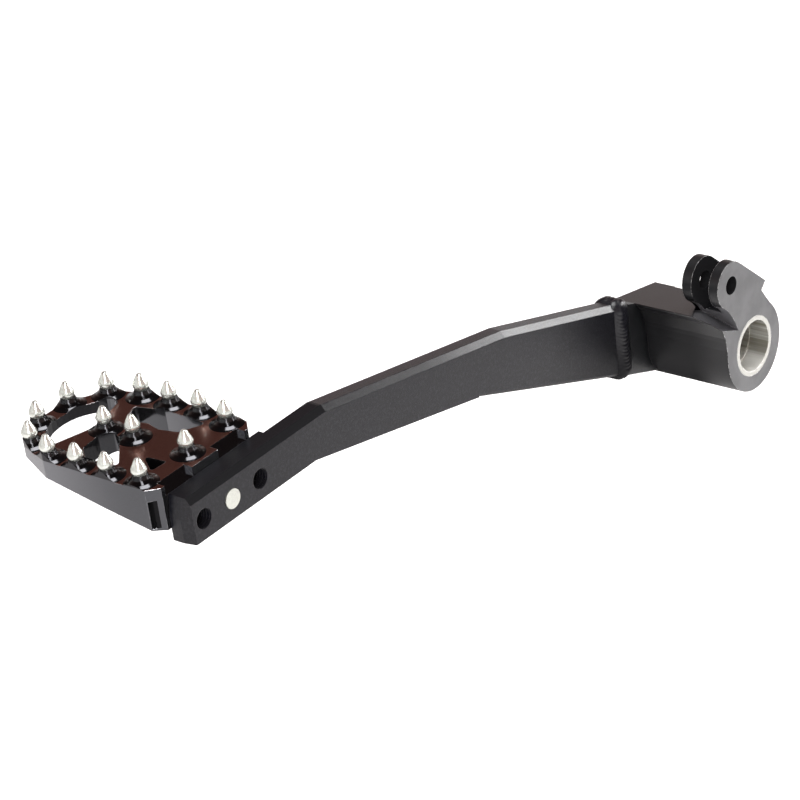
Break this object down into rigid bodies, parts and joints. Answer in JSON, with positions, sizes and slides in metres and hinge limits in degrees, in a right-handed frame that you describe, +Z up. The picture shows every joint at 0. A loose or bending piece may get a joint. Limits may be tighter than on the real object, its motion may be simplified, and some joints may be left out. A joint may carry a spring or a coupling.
{
  "type": "rear brake pedal",
  "caption": "Motorbike rear brake pedal: plate arm welded to a pivot hub with a clevis, and a spiked foot tip held by a screw.",
  "frame": {"origin": "on the pivot axis, at the inboard face of the hub", "axes": "+Y along the pivot axis, outboard; -X forward to the tip; +Z up"},
  "size_m": [0.2582, 0.0995, 0.047],
  "materials": {
    "black_steel": "satin black coat with a fine grain",
    "weld": "satin black coat over the weld ripples",
    "black_anodised": "gloss black anodised, machined",
    "bright_steel": "turned bright steel"
  },
  "bodies": {
    "root": {"arm": "black_steel", "pivot_hub": "black_steel", "weld_bead": "weld", "inboard_bush": "bright_steel", "long_bush": "bright_steel", "tip_platform": "black_anodised", "tip_screw": "bright_steel", "spike_01": "bright_steel", "spike_02": "bright_steel", "spike_03": "bright_steel", "spike_04": "bright_steel", "spike_05": "bright_steel", "spike_06": "bright_steel", "spike_07": "bright_steel", "spike_08": "bright_steel", "spike_09": "bright_steel", "spike_10": "bright_steel", "spike_11": "bright_steel", "spike_12": "bright_steel", "spike_13": "bright_steel", "spike_14": "bright_steel", "spike_15": "bright_steel"}
  },
  "joints": []
}
